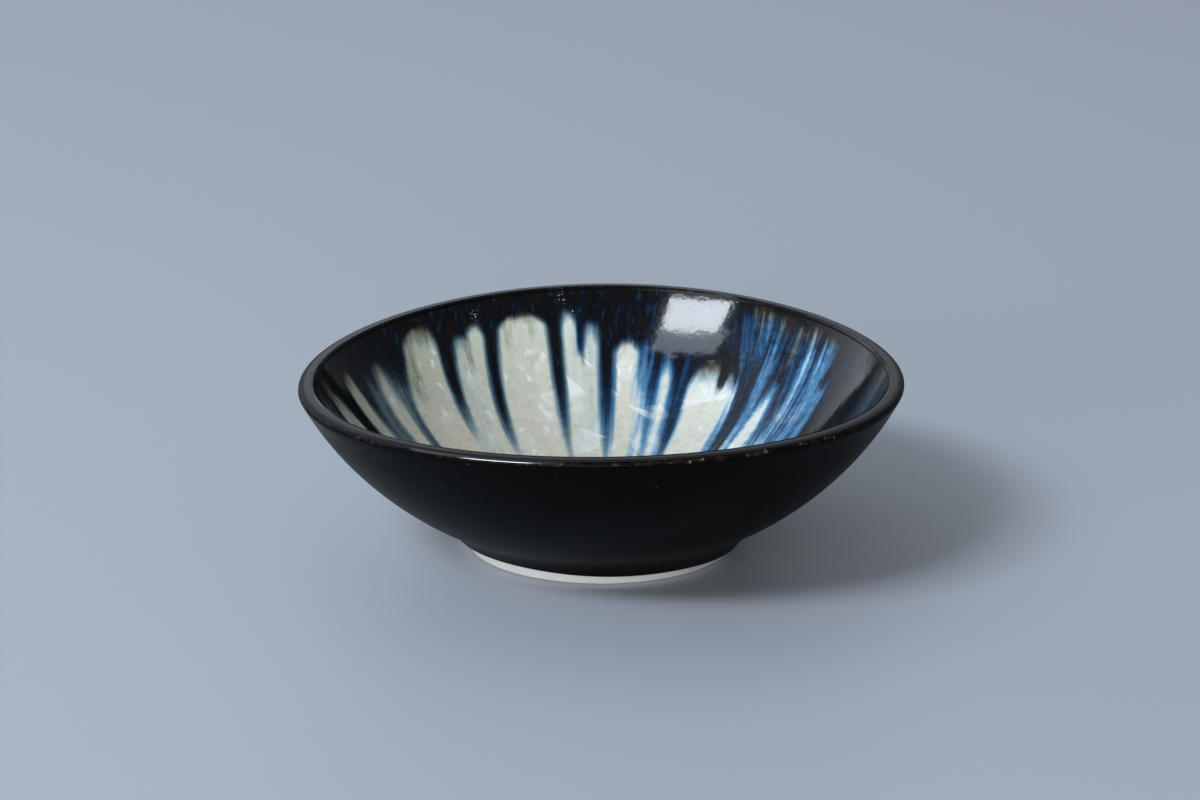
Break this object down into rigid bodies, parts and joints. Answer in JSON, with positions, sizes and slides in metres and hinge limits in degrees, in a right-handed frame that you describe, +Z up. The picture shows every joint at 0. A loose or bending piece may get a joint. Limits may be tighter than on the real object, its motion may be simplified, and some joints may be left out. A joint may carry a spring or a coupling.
{
  "type": "bowl",
  "caption": "Round footed porcelain bowl with flaring walls, satin black glaze outside and over the lip, and a glossy cream inside under dark blue glaze runs.",
  "frame": {"origin": "centre of the foot ring on the surface the bowl stands on", "axes": "+Z up through the middle of the bowl, +X to the right and +Y away from the viewer in the picture"},
  "size_m": [0.1498, 0.1498, 0.0469],
  "materials": {
    "bare_porcelain": "matte",
    "black_glaze": "satin",
    "cream_glaze": "gloss",
    "dark_run_glaze": "gloss"
  },
  "bodies": {
    "root": {"porcelain_body": "bare_porcelain", "outer_glaze": "black_glaze", "liner_glaze": "cream_glaze", "rim_run_glaze": "dark_run_glaze"}
  },
  "joints": []
}
